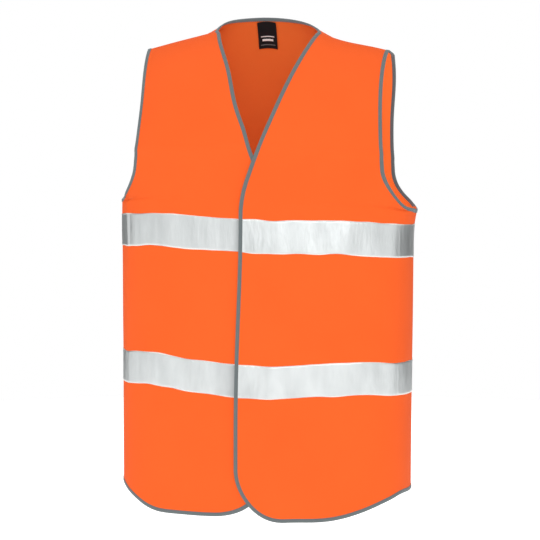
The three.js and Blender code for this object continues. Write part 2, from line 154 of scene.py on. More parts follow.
def turn_at(x):
    return np.interp(x, FRONT_WIDTHS, FRONT_TURNS)


def arc_at(turn):
    """Length round the chest from the centre front."""
    return np.interp(turn, ROUND_TURNS, ROUND_ARCS) - ARC_START


def turn_at_arc(arc):
    return np.interp(arc, arc_at(FRONT_TURNS), FRONT_TURNS)


def path_length(points):
    """Length along a path at each of its points."""
    return np.concatenate([[0], np.cumsum(np.linalg.norm(np.diff(points, axis=0), axis=1))])


def at_lengths(wanted, run, values):
    """Each column of values, read at the wanted lengths of a run."""
    return np.stack([np.interp(wanted, run, values[:, k]) for k in range(3)], -1)


def level_of(z):
    """The level of a height below the chest."""
    return (z - CHEST) / ROW


def level_at(x, z):
    lean = np.arcsin(np.clip((z - CHEST) / (shoulder_line(x) - CHEST), -1, 1)) / QUARTER
    return np.where(np.asarray(z) <= CHEST, level_of(z), lean)


# ---- edges of the cloth ----
def front_edge_table():
    """The free edge of a front up to the shoulder, as turns at levels."""
    fall = NECK_DROP / NECK_HALF
    corner = np.array([-HALF_OVERLAP, -NECK_DROP - HALF_OVERLAP * fall])
    along = unit(np.array([1.0, fall]))
    below = corner - [0, NECK_ROUNDING]
    above = corner + along * NECK_ROUNDING
    t = np.linspace(0, 1, 24)[:, None]
    bend = below * (1 - t) ** 2 + 2 * corner * t * (1 - t) + above * t**2
    s = np.linspace(0, 1, 90)[1:]
    x = above[0] + (NECK_HALF - above[0]) * (1 - (1 - s) ** 2)
    line = np.stack([x, (x - NECK_HALF) * fall], -1)
    points = np.concatenate([[[-HALF_OVERLAP, -BODY_LENGTH - 10]], bend, line])
    return level_at(points[:, 0], points[:, 1]), turn_at(points[:, 0])


def armhole_table():
    """The front half of an armhole, from the side seam to the shoulder, as turns at levels."""
    inner = turn_at(ARMHOLE_WAIST)
    t = np.linspace(0, 1, 60)
    curve_level = level_at(0, ARMHOLE_TURN + (ARMHOLE_BOTTOM - ARMHOLE_TURN) * np.cos(t * QUARTER))
    curve_turn = QUARTER - (QUARTER - inner) * np.sin(t * QUARTER)
    t = t[1:]
    x = ARMHOLE_WAIST + (SHOULDER_HALF - ARMHOLE_WAIST) * t * t
    z = ARMHOLE_TURN + (shoulder_line(SHOULDER_HALF) - ARMHOLE_TURN) * np.sin(t * QUARTER)
    levels = np.concatenate([curve_level, level_at(x, z)])
    return levels, np.concatenate([curve_turn, turn_at(x)])


EDGE_LEVELS, EDGE_TURNS = front_edge_table()
ARMHOLE_LEVELS, ARMHOLE_TURNS = armhole_table()
SIDE_LEVEL = float(level_at(0, ARMHOLE_BOTTOM))


def front_edge(level):
    return np.interp(level, EDGE_LEVELS, EDGE_TURNS)


def armhole_edge(level):
    edge = np.interp(level, ARMHOLE_LEVELS, ARMHOLE_TURNS)
    return np.where(level <= SIDE_LEVEL, QUARTER, edge)


def round_hem(turn, drop):
    return -SIDE_LENGTH - drop * np.abs(np.cos(turn)) ** HEM_POWER


def front_hem(turn):
    reach = HALF_WIDTH * section(turn)[0] + HALF_OVERLAP
    left = np.clip(CORNER_RADIUS - reach, 0, CORNER_RADIUS)
    bottom = round_hem(turn, BODY_LENGTH - SIDE_LENGTH)
    return bottom + CORNER_RADIUS - np.sqrt(CORNER_RADIUS**2 - left**2)


def back_hem(turn):
    return round_hem(turn, BACK_HEM_DROP)


def back_top_level(x):
    y = BACK_NECK_REACH * np.sqrt(np.clip(1 - (x / NECK_HALF) ** 2, 0, 1))
    reach = y / (BACK_DEPTH * np.abs(section(turn_at(x))[1]))
    return np.minimum(np.arccos(reach ** (1 / FALL)) / QUARTER, 1)


# ---- how the cloth hangs ----
def smooth_noise(seed, count, u):
    """A smooth wave through random heights, one per unit of u, repeating after count."""
    heights = np.random.default_rng(seed).uniform(-1, 1, count)
    i = np.floor(u).astype(int)
    f = u - i
    f = f * f * (3 - 2 * f)
    return heights[i % count] * (1 - f) + heights[(i + 1) % count] * f


DRAPE_COLUMNS = 144
DRAPE_ROWS = 60
DRAPE_LOW = -1.95  # level of the hanging cloth's lowest row
DRAPE_CAP = 7.0  # the furthest that the hang moves any place
DRAPE_DROP = 0.3  # share of the hang's upright part that is kept
DRAPE_FRAMES = 35
PINNED_ROWS = 4
FORM_GAP = 2.0


def grid_faces(rows, columns, rows_close=False, columns_close=False):
    """The faces between neighbours in a grid of points, which may close on itself."""
    i, j = np.meshgrid(np.arange(rows - (not rows_close)),
                       np.arange(columns - (not columns_close)), indexing="ij")
    here, below, right = i * columns, (i + 1) % rows * columns, (j + 1) % columns
    corners = [here + j, here + right, below + right, below + j]
    return np.stack(corners, -1).reshape(-1, 4)


def new_object(name, points, faces):
    """An object from points in millimetres."""
    mesh = bpy.data.meshes.new(name)
    mesh.from_pydata((points * MM).tolist(), [], faces)
    ob = bpy.data.objects.new(name, mesh)
    bpy.context.scene.collection.objects.link(ob)
    return ob


def make_cloth(tube):
    pin = tube.vertex_groups.new(name="pin")
    for row in range(PINNED_ROWS):
        members = range(row * DRAPE_COLUMNS, (row + 1) * DRAPE_COLUMNS)
        pin.add(list(members), 1 - row * 0.28, "REPLACE")
    cloth = tube.modifiers.new("Cloth", "CLOTH")
    s = cloth.settings
    s.quality = 5
    s.mass = 0.15
    s.tension_stiffness = 15
    s.compression_stiffness = 12
    s.shear_stiffness = 4
    s.bending_stiffness = 0.35
    s.tension_damping = s.compression_damping = 12
    s.air_damping = 3
    s.shrink_min = -0.035
    s.vertex_group_mass = "pin"
    cloth.collision_settings.distance_min = 0.001
    cloth.collision_settings.use_self_collision = False
    cloth.point_cache.frame_start = 1
    cloth.point_cache.frame_end = DRAPE_FRAMES + 5


def hang_tube():
    """Hangs a loose tube of cloth round the body, and returns how far each place moved."""
    turn, level = np.meshgrid(np.arange(DRAPE_COLUMNS) * FULL / DRAPE_COLUMNS,
                              np.linspace(0.0, DRAPE_LOW, DRAPE_ROWS))
    rest = body_point(turn, level).reshape(-1, 3)
    uneven = 0.4 * smooth_noise(5, 40, turn / FULL * 40).reshape(-1, 1)
    faces = grid_faces(DRAPE_ROWS, DRAPE_COLUMNS, columns_close=True).tolist()
    tube = new_object("hanging_tube", rest + uneven * unit(rest * [1, 1, 0]), faces)
    inward = unit(rest * [1 / HALF_WIDTH**2, 1 / FRONT_DEPTH**2, 0])
    torso = new_object("torso_form", rest - FORM_GAP * inward, faces)
    torso.modifiers.new("Collision", "COLLISION")
    torso.collision.thickness_outer = 0.001
    torso.collision.cloth_friction = 4
    make_cloth(tube)
    for f in range(1, DRAPE_FRAMES + 1):
        bpy.context.scene.frame_set(f)
    hung = tube.evaluated_get(bpy.context.evaluated_depsgraph_get()).data
    moved = np.empty(len(hung.vertices) * 3)
    hung.vertices.foreach_get("co", moved)
    shift = (moved.reshape(-1, 3) / MM - rest).reshape(DRAPE_ROWS, DRAPE_COLUMNS, 3)
    bpy.context.scene.frame_set(1)
    for ob in (tube, torso):
        bpy.data.objects.remove(ob)
    shift[..., 2] *= DRAPE_DROP
    for _ in range(2):
        shift = (np.roll(shift, 1, 1) + 2 * shift + np.roll(shift, -1, 1)) / 4
        shift[1:-1] = (shift[:-2] + 2 * shift[1:-1] + shift[2:]) / 4
    size = np.linalg.norm(shift, axis=-1, keepdims=True)
    return shift * np.minimum(1, DRAPE_CAP / np.maximum(size, 1e-6))


def finer(field, times, closed):
    """Puts times - 1 values between each two along the first axis, on a smooth curve."""
    if closed:
        before, after, beyond = np.roll(field, 1, 0), np.roll(field, -1, 0), np.roll(field, -2, 0)
        here = field
    else:
        padded = np.concatenate([field[:1], field, field[-1:]])
        before, here, after, beyond = padded[:-3], padded[1:-2], padded[2:-1], padded[3:]
    parts = []
    for s in range(times):
        t = s / times
        parts.append(0.5 * (2 * here + (after - before) * t
                            + (2 * before - 5 * here + 4 * after - beyond) * t**2
                            + (3 * here - before - 3 * after + beyond) * t**3))
    out = np.stack(parts, 1).reshape(-1, *field.shape[1:])
    return out if closed else np.concatenate([out, field[-1:]])


DRAPE = hang_tube()
DRAPE = finer(DRAPE, 3, False)
DRAPE = finer(DRAPE.swapaxes(0, 1), 3, True).swapaxes(0, 1)


def drape(turn, level):
    """How far the hanging cloth has moved from the body surface at a place."""
    rows, columns = DRAPE.shape[:2]
    u = np.mod(turn / FULL, 1) * columns
    v = np.clip(level / DRAPE_LOW, 0, 1) * (rows - 1)
    i = np.minimum(v.astype(int), rows - 2)
    j = u.astype(int) % columns
    fi, fj = (v - i)[..., None], (u - np.floor(u))[..., None]
    k = (j + 1) % columns
    low = DRAPE[i, j] * (1 - fj) + DRAPE[i, k] * fj
    high = DRAPE[i + 1, j] * (1 - fj) + DRAPE[i + 1, k] * fj
    return low * (1 - fi) + high * fi


def pucker(turn, level):
    """Height of the shallow upright creases where the stiff tape gathers the cloth."""
    around = arc_at(turn) / arc_at(FULL)
    z = CHEST + level * ROW
    total = 0
    for n, centre in enumerate(TAPE_CENTRES.values()):
        near = np.exp(-(((z - centre) / 42) ** 2))
        lean = (z - centre) * 0.00022 * smooth_noise(31 + n, 8, around * 8)
        wide = smooth_noise(11 + n, 43, (around + lean) * 43)
        fine = smooth_noise(21 + n, 123, (around - 0.6 * lean) * 123)
        total = total + near * (0.9 * wide + 0.28 * fine)
    return total


def outer_lift(turn):
    """How far the outer front is lifted by the inner one, easing out past the overlap."""
    x = HALF_WIDTH * section(turn)[0]
    ease = np.clip((LIFT_TO - x) / (LIFT_TO - LIFT_FROM), 0, 1)
    return OVERLAP_LIFT * ease * ease * (3 - 2 * ease)


def smooth(t):
    """Eases from 0 to 1 as t goes from 0 to 1."""
    t = np.clip(t, 0, 1)
    return t * t * (3 - 2 * t)


def bump(t):
    return np.exp(-(t**2))


def moved_across(x, y, z):
    """Millimetres that the hang moves a place to the wearer's left."""
    far, front = np.abs(x), smooth(-y / 60)
    share = np.where(x > 0, 0.027 - 0.01 * smooth((-z - 350) / 350), 0.030)
    ease = x * share * smooth((-60 - z) / 150)
    armpit = 6 * bump((z + 268) / 26) * smooth((x - 150) / 80)
    back_shoulder = 9 * bump((z + 60) / 60) * smooth((x - 120) / 60) * smooth(y / 15)
    front_lean = 6 * smooth((-z - 230) / 400) * front * smooth((170 - far) / 130)
    back_slip = 14 * smooth(y / 60) * smooth((z + 150) / 140) * smooth((150 - far) / 110)
    neck_share = 6 + 6 * bump((z + 65) / 45)
    right_neck = neck_share * smooth((10 - y) / 30) * smooth((z + 210) / 60) * (
        smooth((150 + x) / 60) * smooth((20 - x) / 40))
    right_armhole = 5 * bump((z + 130) / 60) * smooth((-x - 140) / 50) * smooth((30 - y) / 40)
    under_arm = 5.5 * np.sign(x) * bump((z + 222) / 26) * smooth((far - 140) / 50)
    front_bow = 3 * bump((z + 330) / 130) * front * smooth((110 - far) / 80)
    return (ease + armpit + back_shoulder - front_lean - back_slip + right_neck + right_armhole
            + under_arm + front_bow)


def moved_up(x, y, z):
    """Millimetres that the hang lifts a place."""
    far, front = np.abs(x), smooth(-y / 60)
    left = 7 + 5 * smooth((-z - 430) / 110) - 3 * bump((z + 330) / 45)
    right = 7 + 6 * bump((z + 540) / 80) - 2 * smooth((-z - 600) / 100)
    sides = smooth(far / 200) * np.where(x > 0, left, right) * smooth((-170 - z) / 80)
    neck_foot = 7 * bump((z + 200) / 50) * smooth((90 - far) / 60) * front
    lower_tape = 5 * bump((z + 540) / 90) * smooth((260 - far) / 120)
    upper_tape = 6 * bump((z + 322) / 70) * smooth((240 - far) / 140)
    shoulder_dip = 4 * bump((x - 120) / 40) * smooth((z + 90) / 60)
    armpit_dip = 9 * bump((far - 212) / 15) * bump((z + 252) / 30) * front
    hem = smooth((-z - 600) / 120) * front
    hem_dip = hem * (9 * bump((x + 160) / 45) + 4 * bump((x - 110) / 40))
    hem_rise = hem * (5 * bump((x + 30) / 38) + 10 * bump((x - 208) / 40)
                      + 9 * bump((x + 212) / 40))
    tilt = 0.024 + 0.01 * bump((z - TAPE_CENTRES["upper"]) / 90)
    return (sides + neck_foot + lower_tape + upper_tape - shoulder_dip - armpit_dip - hem_dip
            + hem_rise - tilt * x)


def askew(point):
    """Turns the even shape into the way it really hangs: wider below the chest, tapes and hem
    lower on the wearer's left, the free edge leaning over and the back neck slipped aside."""
    x, y, z = point[..., 0], point[..., 1], point[..., 2]
    inward = -1.8 * bump((z - CHEST) / 36) * np.sign(y) * smooth(np.abs(y) / 60)
    return point + np.stack([moved_across(x, y, z), inward, moved_up(x, y, z)], -1)


class Worn:
    """Which side a piece is on, and how far the cloth there stands off the body."""

    def __init__(self, side, lift):
        self.side = side
        self.lift = lift

    def points(self, turn, level, height):
        turn, level = np.broadcast_arrays(turn, level)
        along, up = body_tangents(turn, level)
        normal = unit(np.cross(along, up))
        worn_turn = turn if self.side > 0 else -turn
        off = self.lift(turn) + height + pucker(np.mod(worn_turn, FULL), level)
        point = body_point(turn, level) + normal * off[..., None]
        point[..., 0] *= self.side
        return askew(point + drape(worn_turn, level))

    def normals(self, turn, level):
        along, up = body_tangents(turn, level)
        normal = unit(np.cross(along, up))
        normal[..., 0] *= self.side
        return normal


def no_lift(turn):
    return np.zeros_like(turn)


OUTER_FRONT = Worn(1, outer_lift)
INNER_FRONT = Worn(-1, no_lift)
ON_BACK = Worn(1, no_lift)
MIRRORED = Worn(-1, no_lift)  # on the wearer's right side


# ---- meshes ----
def make_piece(name, points, faces, uvs, material):
    """A smooth closed piece, with a uv for each point unless uvs is None."""
    piece = new_object(name, points, outward(points, faces))
    mesh = piece.data
    if uvs is not None:
        layer = mesh.uv_layers.new(name="cloth")
        corner = np.empty(len(mesh.loops), int)
        mesh.loops.foreach_get("vertex_index", corner)
        layer.data.foreach_set("uv", uvs[corner].astype(np.float32).ravel())
    mesh.polygons.foreach_set("use_smooth", np.ones(len(mesh.polygons), bool))
    mesh.update()
    mesh.materials.append(material)
    return piece


def outward(points, faces):
    """The faces of a closed form, turned so that they look outward."""
    corners = np.array([(f[0], f[i], f[i + 1]) for f in faces for i in range(1, len(f) - 1)])
    a, b, c = (points[corners[:, k]] for k in range(3))
    if np.einsum("ij,ij->i", a, np.cross(b, c)).sum() < 0:
        return [tuple(reversed(f)) for f in faces]
    return faces


def add_attribute(piece, name, values):
    attribute = piece.data.attributes.new(name, "FLOAT", "POINT")
    attribute.data.foreach_set("value", values.astype(np.float32))


def cloth_uv(turn, level):
    """Metres along the cloth, from the centre front and from the chest."""
    return np.stack([np.sign(turn) * arc_at(np.abs(turn)) * MM, level * ROW * MM], -1)


def cloth_piece(name, turn, level, low, high, worn, material, inside=None):
    """A closed sheet over a grid of places, from height low to height high."""
    rows, columns = turn.shape
    over = worn.points(turn, level, high).reshape(-1, 3)
    under = worn.points(turn, level, low).reshape(-1, 3)
    uv = cloth_uv(turn if worn.side > 0 else -turn, level).reshape(-1, 2)
    n = rows * columns
    top = grid_faces(rows, columns)
    number = np.arange(n).reshape(rows, columns)
    rim = np.concatenate([number[0], number[1:, -1], number[-1, -2::-1], number[-2:0:-1, 0]])
    beyond = np.roll(rim, -1)
    side = np.stack([beyond, rim, rim + n, beyond + n], -1)
    faces = np.concatenate([top, top[:, ::-1] + n, side]).tolist()
    points = np.concatenate([over, under])
    piece = make_piece(name, points, faces, np.concatenate([uv, uv]), material)
    if inside:
        far, z = np.abs(points[:, 0]), points[:, 2]
        # Painted light: the inside of the cloth glows more towards the sides near the armholes,
        # where light comes through them.
        add_attribute(piece, "lit_through", smooth((far - 150) / 30) * smooth((z + 330) / 60))
        piece.data.materials.append(inside)
        which = np.zeros(len(faces), np.int32)
        which[len(top):2 * len(top)] = 1
        piece.data.polygons.foreach_set("material_index", which)
    return piece


def edge_frames(turn, level, inward):
    """Directions along a path over the cloth: out across its edge, and off the surface."""
    along, up = body_tangents(turn, level)
    normal = unit(np.cross(along, up))
    steps = unit(np.diff(body_point(turn, level), axis=0))
    chord = np.concatenate([steps[:1], steps[:-1] + steps[1:], steps[-1:]])
    out = unit(np.cross(chord, normal)) * inward
    return along, up, out


def shifted(turn, level, along, up, move):
    """The place that lies a vector away over the surface."""
    a, b, c = (along * along).sum(-1), (along * up).sum(-1), (up * up).sum(-1)
    p, q = (along * move).sum(-1), (up * move).sum(-1)
    size = a * c - b * b
    return turn + (c * p - b * q) / size, np.minimum(level + (a * q - b * p) / size, 1)


# The folded binding's outline: (distance out past the cloth's edge, height).
BINDING_OUTLINE = np.array([
    (-5.0, 0.76), (-4.95, 1.2), (-4.6, 1.45), (-3.9, 1.3), (-3.2, 1.5), (-1.9, 1.62), (-0.5, 1.6),
    (0.35, 1.35), (0.7, 0.9), (0.78, 0.5), (0.7, 0.1), (0.35, -0.35), (-0.5, -0.6), (-1.9, -0.62),
    (-3.2, -0.5), (-3.9, -0.3), (-4.6, -0.45), (-4.95, -0.2), (-5.0, 0.24)])


def edge_points(turn, level, inward, worn, outline):
    """Places across a path, for each (out, height) of an outline."""
    along, up, out = edge_frames(turn, level, inward)
    rings = []
    for reach, height in outline:
        t, l = shifted(turn, level, along, up, out * min(reach, 0))
        point = worn.points(t, l, height)
        over = out * max(reach, 0)
        over[..., 0] *= worn.side
        rings.append(point + over)
    return np.stack(rings, 1)


def binding_piece(name, turn, level, inward, worn, closed=False, width=1.0):
    """A folded tape over an edge. inward is 1 or -1, by the way the path runs."""
    rings = edge_points(turn, level, inward, worn, BINDING_OUTLINE * [width, 1])
    count, around = rings.shape[:2]
    points = rings.reshape(-1, 3)
    length, girth = path_length(rings[:, 5]), path_length(BINDING_OUTLINE)
    uv = np.stack(np.broadcast_arrays(length[:, None], girth[None, :]), -1).reshape(-1, 2) * MM
    faces = [tuple(f) for f in grid_faces(count, around, closed, True).tolist()]
    if not closed:
        faces.append(tuple(range(around))[::-1])
        faces.append(tuple((count - 1) * around + j for j in range(around)))
    return make_piece(name, points, faces, uv, GREY)


STITCH_SIDES = 5
STITCH_RING = [(math.cos(a), math.sin(a)) for a in np.arange(STITCH_SIDES) * FULL / STITCH_SIDES]
# One stitch end to end: (share of its half length, thickness, depth), in radii.
STITCH_SHAPE = ((-1.0, 0.35, -0.5), (-0.55, 1.0, 0.0), (0.55, 1.0, 0.0), (1.0, 0.35, -0.5))
STITCH_POINTS = STITCH_SIDES * len(STITCH_SHAPE)


class Stitching:
    """Gathers rows of stitches, then makes them one piece."""

    def __init__(self):
        self.points = []
        self.faces = []
        self.count = 0

    def row(self, points, normals, pitch=3.0, length=2.2, radius=0.24, flip=1):
        run = path_length(points)
        middles = np.arange(pitch / 2, run[-1], pitch)
        ahead = at_lengths(middles + 0.5, run, points)
        behind = at_lengths(middles - 0.5, run, points)
        normal = unit(at_lengths(middles, run, normals))
        self.add(at_lengths(middles, run, points), unit(ahead - behind), normal * flip,
                 length / 2, radius)

    def add(self, at, along, normal, half, radius):
        side = unit(np.cross(along, normal))
        rings = []
        for t, swell, sink in STITCH_SHAPE:
            for c, s in STITCH_RING:
                rings.append(at + along * half * t + side * c * radius * swell
                             + normal * radius * (s * swell + sink + 0.2))
        base = self.count + np.arange(len(at))[:, None] * STITCH_POINTS
        n = STITCH_SIDES
        quads = grid_faces(len(STITCH_SHAPE), n, columns_close=True)
        self.faces += (base[:, :, None] + quads[None]).reshape(-1, 4).tolist()
        self.faces += (base + np.arange(n)[::-1]).tolist()
        self.faces += (base + STITCH_POINTS - n + np.arange(n)).tolist()
        self.points.append(np.stack(rings, 1).reshape(-1, 3))
        self.count += len(at) * STITCH_POINTS

    def piece(self, name, material):
        return make_piece(name, np.concatenate(self.points), self.faces, None, material)


# ---- the grids of the three panels ----
SEAM_COLUMNS = np.array([1.2, 2.6])  # extra columns beside a seam
UPPER_STEP = 0.0148  # in level, from row to row above the armholes' foot
LOWER_SHARES = np.unique(np.concatenate([np.linspace(0, 1, 104), [0.003, 0.006]]))[:-1]


def near_seams(fine):
    """Puts extra columns beside the seams at both ends of a run of distances."""
    return np.unique(np.concatenate([fine, fine[0] + SEAM_COLUMNS, fine[-1] - SEAM_COLUMNS]))


def upper_levels():
    steps = np.arange(SIDE_LEVEL, 0.995, UPPER_STEP).tolist()
    return np.unique(steps + [0.985, 0.992, 0.997, 1.0])[:, None]


def lower_heights(hem):
    """Heights of the rows from a hem up to the foot of the armholes."""
    return hem + (ARMHOLE_BOTTOM - hem) * LOWER_SHARES[:, None]


def front_columns():
    """Turns of a front's columns, closer together beside its free edge and its seam."""
    start, side = arc_at(turn_at(-HALF_OVERLAP)), arc_at(QUARTER)
    return turn_at_arc(np.concatenate([
        start + np.array([0, 0.4, 1.5, 3.0, 5.0]), np.arange(start + 7.4, side - 4, 2.5),
        side - np.append(SEAM_COLUMNS[::-1], 0)]))


def front_places():
    low_turn = turn_at(-HALF_OVERLAP)
    shares = (front_columns() - low_turn) / (QUARTER - low_turn)
    shares[-1] = 1
    turn = low_turn + (QUARTER - low_turn) * shares
    low_z = lower_heights(front_hem(turn))
    levels = upper_levels()
    edge, arm = front_edge(levels), armhole_edge(levels)
    return (np.concatenate([np.broadcast_to(turn, low_z.shape), edge + (arm - edge) * shares]),
            np.concatenate([level_of(low_z),
                            np.broadcast_to(levels, (len(levels), len(shares)))]))


def back_places():
    neck = NECK_HALF * np.sin(np.linspace(0, QUARTER, 26))
    shoulder = NECK_HALF + near_seams(np.linspace(0, SHOULDER_HALF - NECK_HALF, 26))
    x = np.concatenate([neck, shoulder[1:]])
    x = np.concatenate([x[::-1], -x[1:]])
    share = turn_at(x) / turn_at(SHOULDER_HALF)
    low_turn = math.pi - QUARTER * share
    low_z = lower_heights(back_hem(low_turn))
    levels = upper_levels()
    turn = math.pi - armhole_edge(levels) * share
    top = back_top_level(x)
    level = SIDE_LEVEL + (top - SIDE_LEVEL) * (levels - SIDE_LEVEL) / (1 - SIDE_LEVEL)
    return (np.concatenate([np.broadcast_to(low_turn, low_z.shape), turn]),
            np.concatenate([level_of(low_z), level]))


# ---- paths along the edges ----
def front_edge_path():
    """From the side seam along the hem, round the corner, up the free edge and the neck."""
    side = arc_at(QUARTER)
    start = arc_at(turn_at(CORNER_RADIUS - HALF_OVERLAP))
    hem_turn = turn_at_arc(np.linspace(side, start, 70))
    round_corner = 1 - np.cos(np.linspace(QUARTER, 0, 30)[1:])
    turn = np.concatenate([hem_turn, turn_at(-HALF_OVERLAP + CORNER_RADIUS * round_corner)])
    level = level_of(front_hem(turn))
    climb = np.unique(np.concatenate([np.arange(level[-1] + 0.014, 0.96, 0.0135),
                                      [0.965, 0.975, 0.985, 0.992, 0.997, 1.0]]))
    return np.concatenate([turn, front_edge(climb)]), np.concatenate([level, climb])


def armhole_path():
    """Round one armhole, from the side seam up the front and down the back."""
    curve = ARMHOLE_LEVELS[:60:2]
    climb = np.arange(curve[-1] + 0.016, 0.97, 0.016)
    levels = np.concatenate([curve, climb, [0.975, 0.985, 0.993]])
    turns = armhole_edge(levels)
    return (np.concatenate([turns, [turn_at(SHOULDER_HALF)], (math.pi - turns)[::-1][:-1]]),
            np.concatenate([levels, [1.0], levels[::-1][:-1]]))


def back_neck_path():
    x = NECK_HALF * np.cos(np.linspace(0, math.pi, 90))
    return math.pi - turn_at(x), back_top_level(x)


def back_hem_path():
    turn = np.linspace(QUARTER, 3 * QUARTER, 190)
    return turn, level_of(back_hem(turn))


# ---- finishes ----
class Nodes:
    """Adds nodes to a tree. A value is a number, a colour or another node's output."""

    def __init__(self, tree):
        self.tree = tree

    def put(self, socket, value):
        if isinstance(value, bpy.types.NodeSocket):
            self.tree.links.new(value, socket)
        else:
            socket.default_value = value

    def add(self, kind, **inputs):
        """A new node, its inputs given by name with _ for each space."""
        node = self.tree.nodes.new(kind)
        for name, value in inputs.items():
            self.put(node.inputs[name.replace("_", " ")], value)
        return node

    def math(self, kind, *values):
        node = self.add("ShaderNodeMath")
        node.operation = kind
        for socket, value in zip(node.inputs, values):
            self.put(socket, value)
        return node.outputs[0]

    def times(self, a, b):
        return self.math("MULTIPLY", a, b)

    def plus(self, a, b):
        return self.math("ADD", a, b)

    def split(self, vector):
        return self.add("ShaderNodeSeparateXYZ", Vector=vector).outputs

    def mixed(self, amount, a, b):
        node = self.add("ShaderNodeMix")
        node.data_type = "RGBA"
        for place, value in ((0, amount), (6, a), (7, b)):
            self.put(node.inputs[place], value)
        return node.outputs[2]


def yarn_rows_group():
    """Rows of yarn across a cloth: height for a bump, and a mask of the low places between yarns,
    used to darken the colour there as painted shade.
    """
    group = bpy.data.node_groups.new("yarn_rows", "ShaderNodeTree")
    for name, way, kind in (("Place", "INPUT", "Vector"), ("Across", "INPUT", "Float"),
                            ("Along", "INPUT", "Float"), ("Slant", "INPUT", "Float"),
                            ("Height", "OUTPUT", "Float"), ("GapShade", "OUTPUT", "Float")):
        group.interface.new_socket(name, in_out=way, socket_type=f"NodeSocket{kind}")
    rows = Nodes(group)
    start = rows.add("NodeGroupInput").outputs
    x, y, _ = rows.split(start["Place"])
    rib = rows.math("ABSOLUTE", rows.math("SINE", rows.times(x, start["Across"])))
    lean = rows.times(rib, start["Slant"])
    wave = rows.math("SINE", rows.plus(rows.times(y, start["Along"]), lean))
    loop = rows.times(rows.plus(wave, 1.0), 0.5)
    height = rows.times(rib, rows.plus(rows.times(loop, 0.6), 0.4))
    # Painted shade: the lower the yarn, the darker the colour will be made.
    gap_shade = rows.math("POWER", rows.math("SUBTRACT", 1.0, height), 3.0)
    rows.add("NodeGroupOutput", Height=height, GapShade=gap_shade)
    return group


YARN_ROWS = yarn_rows_group()
BLACK = (0, 0, 0, 1)


class Finish(Nodes):
    """A new material, with the sources and patterns that its look is made from."""

    def __init__(self, name):
        self.material = bpy.data.materials.new(name)
        self.material.use_nodes = True
        super().__init__(self.material.node_tree)

    def uv(self):
        node = self.add("ShaderNodeUVMap")
        node.uv_map = "cloth"
        return node.outputs[0]

    def place(self):
        return self.add("ShaderNodeTexCoord").outputs["Object"]

    def attribute(self, name):
        node = self.add("ShaderNodeAttribute")
        node.attribute_name = name
        return node.outputs["Fac"]

    def noise(self, place, scale, detail):
        node = self.add("ShaderNodeTexNoise", Vector=place, Scale=scale, Detail=detail)
        return node.outputs["Fac"]

    def share_between(self, value, low, high):
        node = self.add("ShaderNodeMapRange", Value=value, From_Min=low, From_Max=high)
        return node.outputs[0]

    def yarn(self, place, across, along, slant):
        """Height of rows of yarn which repeat after across and along, in metres, and a mask of the
        low places between them, for painted shade.
        """
        node = self.add("ShaderNodeGroup")
        node.node_tree = YARN_ROWS
        for name, value in (("Place", place), ("Across", FULL / across),
                            ("Along", FULL / along), ("Slant", slant)):
            self.put(node.inputs[name], value)
        return node.outputs["Height"], node.outputs["GapShade"]

    def done(self, height, depth, strength, **look):
        """The material, bumped by a height and with its shader's inputs set."""
        bump_node = self.add("ShaderNodeBump", Height=height, Distance=depth, Strength=strength)
        shader = self.tree.nodes["Principled BSDF"]
        for name, value in {**look, "Normal": bump_node.outputs[0]}.items():
            self.put(shader.inputs[name.replace("_", " ")], value)
        return self.material


def knitted_cloth(name, bright, deep, painted_glow, through=0.0):
    """Fluorescent knit that gives off a share of its own colour as light: painted light, partly
    standing for fluorescence and partly evening out the shade towards the sides. through is how
    much more it glows where lit_through says so, as painted light near the armholes.
    """
    knit = Finish(name)
    uv = knit.uv()
    height, gap_shade = knit.yarn(uv, 0.0022, 0.0009, 1.6)
    patchy = knit.times(knit.math("SUBTRACT", knit.noise(uv, 9.0, 3.0), 0.42), 0.7)
    colour = knit.mixed(knit.plus(knit.times(gap_shade, 0.3), patchy), bright, deep)
    share = knit.plus(knit.times(knit.attribute("lit_through"), through), painted_glow)
    fibre = knit.noise(uv, 2600.0, 2.0)
    return knit.done(
        knit.plus(height, knit.times(fibre, 0.35)), 0.00018, 0.6, Base_Color=colour,
        Emission_Color=knit.mixed(share, BLACK, colour), Emission_Strength=1.0,
        Roughness=0.8, Specular_IOR_Level=0.12, Sheen_Weight=0.03)


def bound_edge(name, colour, deep, painted_glow):
    tape = Finish(name)
    uv = tape.uv()
    height, gap_shade = tape.yarn(uv, 0.0013, 0.0016, 0.0)
    worn = tape.times(tape.noise(uv, 60.0, 3.0), 0.35)
    return tape.done(
        height, 0.00022, 0.7,
        Base_Color=tape.mixed(tape.plus(tape.times(gap_shade, 0.6), worn), colour, deep),
        Emission_Color=painted_glow, Emission_Strength=1.0, Roughness=0.72,
        Specular_IOR_Level=0.3, Sheen_Weight=0.25)


